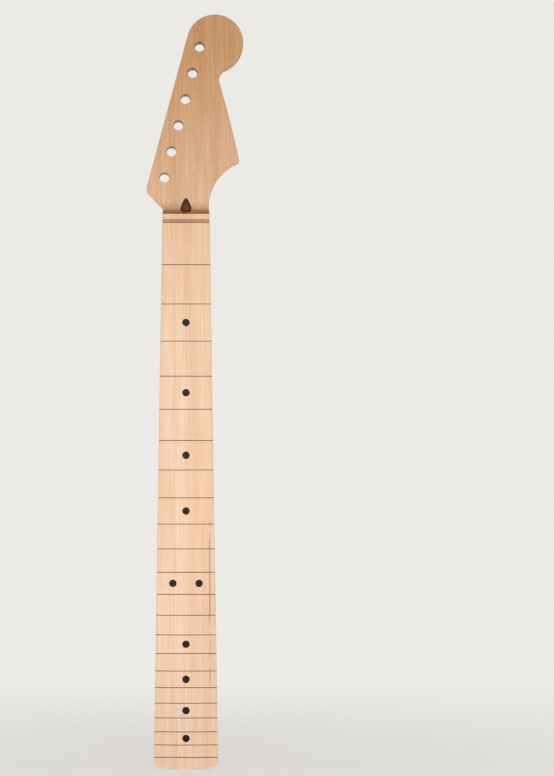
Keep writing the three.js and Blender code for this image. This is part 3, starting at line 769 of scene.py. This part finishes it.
# Fingerboard: a separate maple board glued on the neck, sanded to a radius across, which is
# flatter at the heel. It is sawn for 22 frets and the string nut, and drilled for its dots.
board_radius_at_nut = 254
board_radius_at_heel = 406.4
board_past_heel = 8
# Slots have a width and a depth, dots a diameter and a length
fret_slot = (0.6, 3.2)
nut_slot = (3.2, 3.4)
face_dot = (6.35, 2)
side_dot = (2, 3)
side_dot_below_face = 3.6
octave_dot_spacing = 22.8
octave_side_dot_spacing = 9.5
end_clearance = 0.5
rolled_edge = 0.45
board_heel_z = heel_end_z - board_past_heel


def board_radius(z):
    share = (nut_z - z) / nut_to_heel_end
    return board_radius_at_nut + (board_radius_at_heel - board_radius_at_nut) * share


def board_face_y(x, z):
    radius = board_radius(z)
    return board_top_y + radius - np.sqrt(radius**2 - x**2)


def board_section(z):
    half = half_width(z)
    x = np.linspace(half - rolled_edge, rolled_edge - half, 61)
    y = board_face_y(x, z)
    turns = np.linspace(0, math.pi / 2, 6)[1:]
    roll_x = half - rolled_edge + rolled_edge * np.sin(turns)
    roll_y = y[0] + rolled_edge * (1 - np.cos(turns))
    glued_x = [-half, -half + glue_edge, half - glue_edge, half]
    glued_y = [glue_y - glue_edge, glue_y, glue_y, glue_y - glue_edge]
    x = np.concatenate([x, -roll_x, glued_x, roll_x[::-1]])
    y = np.concatenate([y, roll_y, glued_y, roll_y[::-1]])
    return np.column_stack([x, y, np.full(len(x), z)])


def slot_block(z, width, depth):
    half = heel_width / 2 + overrun
    return block("slot", (-half, half), (board_top_y - overrun, board_top_y + depth),
        (z - width / 2, z + width / 2))


board = solid("maple_board", [
    board_section(z) for z in np.linspace(board_heel_z - overrun, board_head_z + overrun, 60)])
top_z = board_head_z + 2 * overrun
clear = half_width(top_z) + end_clearance
board_outline = closed(heel_end(board_heel_z) + [clear + 1j * top_z, -clear + 1j * top_z])
end_outline = np.where(board_outline.imag < heel_end_z, board_outline,
    board_outline + np.sign(board_outline.real) * end_clearance)
shaped(board, "INTERSECT", [solid("end", [
    front_ring(end_outline, board_top_y - overrun), front_ring(end_outline, glue_y + overrun)])])
single_dot_frets = (3, 5, 7, 9, 15, 17, 19, 21)


def dot_z(fret):
    return (fret_z(fret) + fret_z(fret - 1)) / 2


face_dots = [(0, dot_z(fret)) for fret in single_dot_frets]
face_dots += [(side * octave_dot_spacing / 2, dot_z(12)) for side in (-1, 1)]
side_dots = [dot_z(fret) for fret in single_dot_frets]
side_dots += [dot_z(12) + side * octave_side_dot_spacing / 2 for side in (-1, 1)]
side_dot_y = board_top_y + side_dot_below_face
cuts = [slot_block(fret_z(fret), *fret_slot) for fret in range(1, frets + 1)]
cuts.append(slot_block(nut_z + nut_slot[0] / 2, *nut_slot))
r = face_dot[0] / 2 + inlay_gap
for x, z in face_dots:
    cuts.append(turned("seat", (x, board_top_y - overrun, z), (0, 1, 0),
        [(0, r), (overrun + face_dot[1], r)]))
r = side_dot[0] / 2 + inlay_gap
for z in side_dots:
    cuts.append(turned("seat", (-half_width(z) - overrun, side_dot_y, z), (1, 0, 0),
        [(0, r), (overrun + side_dot[1], r)], 24))
shaped(board, "DIFFERENCE", [head_cutter, plug_bore, *cuts], keep=[head_cutter, plug_bore])
smoothed(board, 30)


def slots_and_streaks(add, place, normal, end_grain_and_shade):
    """The board is a little yellower towards the nut. The walls and the floors of the fret slots
    are saw-burnt and darkened further by painted shade, the nut's slot less so. Brown mineral
    streaks run along one edge between the 13th fret and the board's end."""
    apart = add("ShaderNodeSeparateXYZ", {0: place})
    higher = add("ShaderNodeMapRange", {
        "Value": apart.outputs[2], "From Min": fret_z(5) * mm, "From Max": board_head_z * mm})
    sawn = add("ShaderNodeMath", {
        0: apart.outputs[2], 1: (nut_z + heel_end_z) / 2 * mm,
        2: ((nut_z - heel_end_z) / 2 + nut_slot[0] + inlay_gap) * mm}, operation="COMPARE")
    # The slots' walls count from 1.3 to 4.5 mm under the board's crown
    deep = add("ShaderNodeMath", {
        0: apart.outputs[1], 1: (board_top_y + 2.9) * mm, 2: 1.6 * mm}, operation="COMPARE")
    side = add("ShaderNodeMath", {0: normal.outputs[0]}, operation="ABSOLUTE")
    inside = add("ShaderNodeMapRange", {
        "Value": side, "From Min": 0.6, "From Max": 0.4, "To Max": deep})
    cut = add("ShaderNodeMath", {0: inside, 1: end_grain_and_shade}, operation="MAXIMUM")
    # Saw burn and painted shade in the deep narrow slots, less in the nut's slot
    burn_and_shade = add("ShaderNodeMath", {0: sawn, 1: cut}, operation="MULTIPLY")
    less_at_nut = add("ShaderNodeMapRange", {
        "Value": apart.outputs[2], "From Min": (nut_z - 1) * mm,
        "From Max": (nut_z - inlay_gap) * mm, "To Min": 1, "To Max": 0.4})
    burn_and_shade = add("ShaderNodeMath", {0: burn_and_shade, 1: less_at_nut}, operation="MULTIPLY")

    # The streaks waver about a line 20.8 mm off the centre
    waver = add("ShaderNodeTexNoise", {"W": apart.outputs[2], "Scale": 25, "Detail": 3},
        noise_dimensions="1D")
    centre = add("ShaderNodeMath", {0: waver, 1: 1.8 * mm, 2: 19.9 * mm}, operation="MULTIPLY_ADD")
    off = add("ShaderNodeMath", {0: apart.outputs[0], 1: centre}, operation="SUBTRACT")
    away = add("ShaderNodeMath", {0: off}, operation="ABSOLUTE")
    narrow = add("ShaderNodeMapRange", {
        "Value": away, "From Min": 0.2 * mm, "From Max": 0.9 * mm,
        "To Min": 1, "To Max": 0}, **smooth)
    stretch = add("ShaderNodeMapRange", {
        "Value": apart.outputs[2], "From Min": 0.02, "From Max": 0.17})
    where = add("ShaderNodeValToRGB", {0: stretch})
    stops = ((0, 0), (0.06, 0.7), (0.15, 0), (0.2, 0.6), (0.36, 0), (0.42, 1), (0.85, 0.8),
        (0.93, 0), (0.96, 0.5), (1, 0))
    for i, (at, value) in enumerate(stops):
        stop = where.color_ramp.elements[i] if i < 2 else where.color_ramp.elements.new(at)
        stop.position = at
        stop.color = (value, value, value, 1)
    there = add("ShaderNodeMath", {0: narrow, 1: where}, operation="MULTIPLY")
    there = add("ShaderNodeMath", {0: there, 1: 0.55}, operation="MULTIPLY")
    return [
        # The second layer is the saw burn and the painted shade in the slots
        (higher, linear("#FCF7EE"), "MULTIPLY"), (burn_and_shade, linear("#8F6038"), "MULTIPLY"),
        (there, linear("#8F4A20"), "MIX")]


# The last colour tints end grain and paints the shade on faces that look along the neck
board_maple = sanded_maple("sanded_board_maple",
    ("#F8D6C0", "#F5D6B6", "#F0CAAA", "#DAB08A", "#BE946E", "#E0BC98"), (0.17, 0.11, 0.03), 0.4,
    0.09, slots_and_streaks)
finished(board, board_maple, "board_maple", "neck_body", "fingerboard")


# Dots: black plastic rod cut into short plugs, glued into the face and the player's edge of
# the board and sanded flush. They repeat, so one tree of Geometry Nodes makes them.
black, add, place = new_material("sanded_black_inlay")
# Sanding scratches run along the board, drawn 0.3 mm wide so that they show
scratch = add("ShaderNodeMapping", {"Vector": place, "Scale": (3300, 3300, 250)})
scratches = add("ShaderNodeTexNoise", {"Vector": scratch, "Scale": 1})
cloud = add("ShaderNodeTexNoise", {"Vector": place, "Scale": 900, "Detail": 3})
dusty = add("ShaderNodeMapRange", {
    "Value": cloud, "From Min": 0.45, "From Max": 0.75, "To Max": 0.35})
colour = add("ShaderNodeMix", {
    "Factor": dusty, 6: linear("#1A1210"), 7: linear("#33261F")}, data_type="RGBA")
rough = add("ShaderNodeMapRange", {"Value": scratches, "To Min": 0.32, "To Max": 0.62})
surfaced(add, colour, rough, scratches, 0.4, 0.02, {"IOR": 1.5, "Specular IOR Level": 0.15})

dot_edge = 0.06
inlay = bpy.data.node_groups.new("inlaid_dots", "GeometryNodeTree")
inputs = {
    name: inlay.interface.new_socket(name, in_out="INPUT", socket_type=kind).identifier
    for name, kind in (
        ("Places", "NodeSocketGeometry"), ("Diameter", "NodeSocketFloat"),
        ("Length", "NodeSocketFloat"), ("Edge", "NodeSocketFloat"),
        ("Sides", "NodeSocketInt"), ("Finish", "NodeSocketMaterial"))
}
inlay.interface.new_socket("Dots", in_out="OUTPUT", socket_type="NodeSocketGeometry")
add = partial(add_node, inlay)
given = add("NodeGroupInput").outputs
radius = add("ShaderNodeMath", {0: given["Diameter"], 1: 2}, operation="DIVIDE")
rod = add("GeometryNodeMeshCylinder", {
    "Vertices": given["Sides"], "Radius": radius, "Depth": given["Length"]})
lift = add("GeometryNodeExtrudeMesh", {
    "Mesh": rod, "Selection": rod.outputs["Top"], "Offset Scale": given["Edge"]})
share = add("ShaderNodeMath", {0: given["Edge"], 1: radius}, operation="DIVIDE")
smaller = add("ShaderNodeMath", {0: 1, 1: share}, operation="SUBTRACT")
chamfer = add("GeometryNodeScaleElements", {
    "Geometry": lift, "Selection": lift.outputs["Top"], "Scale": smaller})
half = add("ShaderNodeMath", {0: given["Length"], 1: -0.5}, operation="MULTIPLY")
sunk = add("ShaderNodeMath", {0: half, 1: given["Edge"]}, operation="SUBTRACT")
down = add("ShaderNodeCombineXYZ", {"Z": sunk})
dot = add("GeometryNodeTransform", {"Geometry": chamfer, "Translation": down})
outward = add("GeometryNodeInputNamedAttribute", {"Name": "outward"}, data_type="FLOAT_VECTOR")
turn = add("FunctionNodeAlignRotationToVector", {"Vector": outward}, axis="Z")
placed = add("GeometryNodeInstanceOnPoints", {
    "Points": given["Places"], "Instance": dot, "Rotation": turn})
real = add("GeometryNodeRealizeInstances", {0: placed})
painted = add("GeometryNodeSetMaterial", {"Geometry": real, "Material": given["Finish"]})
add("NodeGroupOutput", {0: painted})


def inlaid(name, places, ways, diameter, length, sides, nodes):
    """Dots at places, facing ways, made by the tree and left as one plain mesh."""
    mesh = bpy.data.meshes.new(name)
    mesh.from_pydata(np.array(places) * mm, [], [])
    facing = mesh.attributes.new("outward", "FLOAT_VECTOR", "POINT")
    facing.data.foreach_set("vector", np.array(ways, float).ravel())
    dots = new_object(name, mesh)
    made = dots.modifiers.new("inlaid", "NODES")
    made.node_group = inlay
    for socket, value in (("Diameter", diameter * mm), ("Length", (length - dot_edge) * mm),
            ("Edge", dot_edge * mm), ("Sides", sides), ("Finish", black)):
        made[inputs[socket]] = value
    settled(dots)
    dots.data.shade_smooth()
    dots.data.set_sharp_from_angle(angle=math.radians(30))
    finished(dots, black, "black_inlay", "neck_body", *nodes)


inlaid("face_dots", [(x, board_face_y(x, z), z) for x, z in face_dots],
    [(x / board_radius(z), -1, 0) for x, z in face_dots], *face_dot, 64,
    [f"face_dot_{fret}" for fret in (*single_dot_frets, "12_bass", "12_treble")])
inlaid("side_dots", [(-half_width(z), side_dot_y, z) for z in side_dots],
    [(-1, 0, 0) for z in side_dots], *side_dot, 32,
    [f"side_dot_{fret}" for fret in (*single_dot_frets, "12_upper", "12_lower")])


# Stripe: a walnut strip glued over the truss rod in its slot in the back, then carved with
# the neck, so that it is flush with it. Glue and dust darken its two edges.
stripe_end_gap = 1.3


def sanded_walnut(name, rim):
    """Black walnut, sanded bare: long dark bands and short open pores in brown wood. rim
    takes add and the place and gives how near the piece's glued edge a point is."""
    material, add, place = new_material(name)
    tone = grain(add, place, (300, 300, 11), 0.35, 0.65, 3, 0.6)
    # Pores are 0.2 mm wide; they are drawn 0.35 mm wide and 5 mm long so that they show
    pore = grain(add, place, (2900, 2900, 200), 0.56, 0.7, most=0.6)
    wood = linear("#89563A")
    for share, colour in ((tone, "#613524"), (pore, "#3A2016"), (rim(add, place), "#3C1507")):
        wood = add("ShaderNodeMix", {"Factor": share, 6: wood, 7: linear(colour)},
            data_type="RGBA")
    rough = add("ShaderNodeMapRange", {"Value": tone, "To Min": 0.48, "To Max": 0.62})
    surfaced(add, wood, rough, pore, 0.7, 0.06, {"IOR": 1.45, "Specular IOR Level": 0.25},
        invert=True)
    return material


def stripe_rim(add, place):
    across = add("ShaderNodeSeparateXYZ", {0: place})
    away = add("ShaderNodeMath", {0: across.outputs[0]}, operation="ABSOLUTE")
    return add("ShaderNodeMapRange", {
        "Value": away, "From Min": (stripe_width / 2 - 0.9) * mm,
        "From Max": stripe_width / 2 * mm, "To Max": 0.8})


stripe = rod_slot(0, rod_diameter / 2 + rod_gap, barrel_z + barrel_diameter / 2 + stripe_end_gap)
stripe.name = "walnut_stripe"
cover = block("cover", (-stripe_width, stripe_width), (glue_y, 0), (0, nut_z))
shaped(stripe, "INTERSECT", [carve, cover])
smoothed(stripe, 30)
finished(stripe, sanded_walnut("sanded_stripe_walnut", stripe_rim), "walnut", "neck_body",
    "back_stripe")


# Plug: a walnut dowel glued over the rod's anchor. The sweep of the headstock cuts it
# slantwise, to the shape of a teardrop above the nut.
def plug_rim(add, place):
    _, away = from_axis(add, place, plug_line_point(0), plug_way)
    return add("ShaderNodeMapRange", {
        "Value": away, "From Min": (plug_diameter / 2 - 3.2) * mm,
        "From Max": (plug_diameter / 2 - 0.5) * mm, "To Max": 0.9})


plug = turned("walnut_plug", plug_line_point(-2 * plug_length), plug_way,
    [(0, plug_diameter / 2), (3 * plug_length, plug_diameter / 2)])
shaped(plug, "DIFFERENCE", [head_cutter])
smoothed(plug, 30)
finished(plug, sanded_walnut("sanded_plug_walnut", plug_rim), "walnut", "neck_body",
    "headstock_plug")
bpy.data.objects.remove(plug_bore)


# Barrel: a steel pin across the rod at the stripe's end, turned, with a broken edge and a
# screwdriver slot along the neck. The rod passes through it. Its face is dull and warm.
def turned_steel(name, colours, end, way, radius):
    """Mild steel as it comes off the lathe, a little oxidised: fine rings round its axis, and
    brown rust and dust at its rim and in its slots. way points out of the end that shows."""
    material, add, place = new_material(name)
    clean, stained = [linear(colour) for colour in colours]
    offset, away = from_axis(add, place, end, way)
    outward = add("ShaderNodeVectorMath", {0: offset, 1: way}, operation="DOT_PRODUCT")
    # Feed marks are 0.1 mm apart; they are drawn 0.35 mm apart so that they show
    marks = add("ShaderNodeMath", {0: away, 1: 18000}, operation="MULTIPLY")
    wave = add("ShaderNodeMath", {0: marks}, operation="SINE")
    cloud = add("ShaderNodeTexNoise", {
        "Vector": place, "Scale": 700, "Detail": 4, "Roughness": 0.6})
    stain = add("ShaderNodeMapRange", {"Value": cloud, "From Min": 0.4, "From Max": 0.7})
    rim = add("ShaderNodeMapRange", {
        "Value": away, "From Min": (radius - 0.9) * mm, "From Max": (radius - 0.2) * mm,
        "To Max": 0.85})
    slot_dust = add("ShaderNodeMapRange", {
        "Value": outward, "From Min": -0.3 * mm, "From Max": -0.7 * mm, "To Max": 0.85})
    dusty = add("ShaderNodeMath", {0: rim, 1: slot_dust}, operation="MAXIMUM")
    colour = clean
    for share, over in ((stain, stained), (dusty, linear("#4A3524"))):
        colour = add("ShaderNodeMix", {"Factor": share, 6: colour, 7: over}, data_type="RGBA")
    rough = add("ShaderNodeMapRange", {"Value": cloud, "To Min": 0.34, "To Max": 0.6})
    surfaced(add, colour, rough, wave, 0.35, 0.01, {"Metallic": 1})
    return material


barrel_edge = 0.35
barrel_slot = (1, 3.8, 0.9)
r = barrel_diameter / 2
barrel = turned("barrel", (0, 0, barrel_z), (0, 1, 0), [
    (barrel_bottom_y, r - barrel_edge), (barrel_bottom_y + barrel_edge, r),
    (-inlay_gap - barrel_edge, r), (-inlay_gap, r - barrel_edge)])
width, length, depth = barrel_slot
driver_slot = block("driver_slot", (-width / 2, width / 2), (-inlay_gap - depth, 1),
    (barrel_z - length / 2, barrel_z + length / 2))
r = rod_diameter / 2 + rod_gap
cross_hole = turned("cross_hole", (0, rod_heel_y, barrel_z - barrel_diameter), (0, 0, 1),
    [(0, r), (2 * barrel_diameter, r)])
shaped(barrel, "DIFFERENCE", [cross_hole, driver_slot])
smoothed(barrel, 25)
barrel_steel = turned_steel("turned_barrel_steel", ("#786252", "#5E4A3A"),
    (0, -inlay_gap, barrel_z), (0, 1, 0), barrel_diameter / 2)
finished(barrel, barrel_steel, "steel", "neck_body", "rod_barrel")


# Truss nut: a round steel nut on the rod's end, in its bore in the heel's end. It has two
# crossed screwdriver slots. Turning it bends or straightens the neck.
nut_edge = 0.5
nut_slots = (1.6, 3)
rod_clearance = 0.8
r = truss_nut_diameter / 2
truss_nut = turned("slotted_nut", (0, rod_heel_y, truss_nut_end_z), (0, 0, 1), [
    (0, r - nut_edge), (nut_edge, r), (truss_nut_length - nut_edge, r),
    (truss_nut_length, r - nut_edge)])
width, depth = nut_slots
past = r + 1
slot_z = (truss_nut_end_z - 1, truss_nut_end_z + depth)
r = rod_diameter / 2 + rod_gap
cuts = [turned("thread", (0, rod_heel_y, truss_nut_seat_z - rod_in_nut - rod_clearance),
    (0, 0, 1), [(0, r), (truss_nut_length, r)])]
for half_x, half_y in ((width / 2, past), (past, width / 2)):
    slot_y = (rod_heel_y - half_y, rod_heel_y + half_y)
    cuts.append(block("slot", (-half_x, half_x), slot_y, slot_z))
shaped(truss_nut, "DIFFERENCE", cuts)
smoothed(truss_nut, 25)
rod_steel = turned_steel("turned_rod_steel", ("#A3927E", "#7F6D59"),
    (0, rod_heel_y, truss_nut_end_z), (0, 0, -1), truss_nut_diameter / 2)
finished(truss_nut, rod_steel, "steel", "truss_nut_body", "truss_nut")


# Rod, anchor and washer: they lie inside the wood, so the CAD solids stay as they are and
# only get the steel.
for name in ("truss_rod", "rod_anchor", "truss_washer"):
    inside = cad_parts[name]
    inside.data.materials.clear()
    inside.data.materials.append(rod_steel)


# Floor: a plain pale sheet under the heel end, which fades into the backdrop further off. It
# is clear from below, so that the truss nut in the heel's end can be looked at.
backdrop_colour = "#ECEAE6"
floor_half = 20
sheet = bpy.data.meshes.new("floor")
sheet.from_pydata([
    (x * floor_half, y * floor_half, board_heel_z * mm)
    for x, y in ((-1, -1), (1, -1), (1, 1), (-1, 1))], [], [(0, 1, 2, 3)])
floor = new_object("floor", sheet)
paper, add, place = new_material("matt_paper")
distance = add("ShaderNodeVectorMath", {0: place}, operation="LENGTH")
far = add("ShaderNodeMapRange", {"Value": distance, "From Min": 0.06, "From Max": 0.7}, **smooth)


def seen_directly(add):
    """1 for what the camera sees, also by a mirror or through glass, and 0 for other light."""
    path = add("ShaderNodeLightPath").outputs
    seen = add("ShaderNodeMath", {0: path["Is Camera Ray"], 1: path["Is Glossy Ray"]},
        operation="ADD")
    return add("ShaderNodeMath", {0: seen, 1: path["Is Transmission Ray"]},
        operation="ADD", use_clamp=True)


paler = add("ShaderNodeMapRange", {"Value": far, "To Min": 0.65})
faded = add("ShaderNodeMath", {0: seen_directly(add), 1: paler}, operation="MULTIPLY")
matt = add("ShaderNodeBsdfDiffuse", {"Color": linear("#E6E4E0")})
plain = add("ShaderNodeEmission", {"Color": linear(backdrop_colour)})
mixed = add("ShaderNodeMixShader", {0: faded, 1: matt, 2: plain})
clear = add("ShaderNodeBsdfTransparent")
below = add("ShaderNodeNewGeometry").outputs["Backfacing"]
one_sided = add("ShaderNodeMixShader", {0: below, 1: mixed, 2: clear})
add("ShaderNodeOutputMaterial", {"Surface": one_sided})
floor.data.materials.append(paper)

# Light: four large soft boxes at the middle of the neck, two in front and two behind, so that
# the front and the back are lit much alike, and an even dim sky. The camera sees the sky as a
# plain backdrop.
sky_light = 0.18
world = bpy.data.worlds.new("studio")
bpy.context.scene.world = world
world.use_nodes = True
world.node_tree.nodes.clear()
add = partial(add_node, world.node_tree)
dim = add("ShaderNodeBackground", {"Color": (1, 1, 1, 1), "Strength": sky_light})
plain = add("ShaderNodeBackground", {"Color": linear(backdrop_colour), "Strength": 1})
mixed = add("ShaderNodeMixShader", {0: seen_directly(add), 1: dim, 2: plain})
add("ShaderNodeOutputWorld", {"Surface": mixed})
for end, y, z, power, height in (("front", -0.65, 0.26, 2.1, 0.52), ("back", 0.7, 0.24, 2.6, 0.6)):
    for side, x in (("left", -0.25), ("right", 0.25)):
        name = f"{end}_{side}_box"
        lamp = new_object(name, bpy.data.lights.new(name, "AREA"))
        lamp.data.shape = "RECTANGLE"
        lamp.data.energy = power
        lamp.data.size = 0.4
        lamp.data.size_y = height
        lamp.location = (x, y, z)
        lamp.visible_camera = False
        lamp.rotation_euler = Vector((-x, -y, 0)).to_track_quat("-Z", "Y").to_euler()

bpy.context.scene.view_settings.view_transform = "Standard"
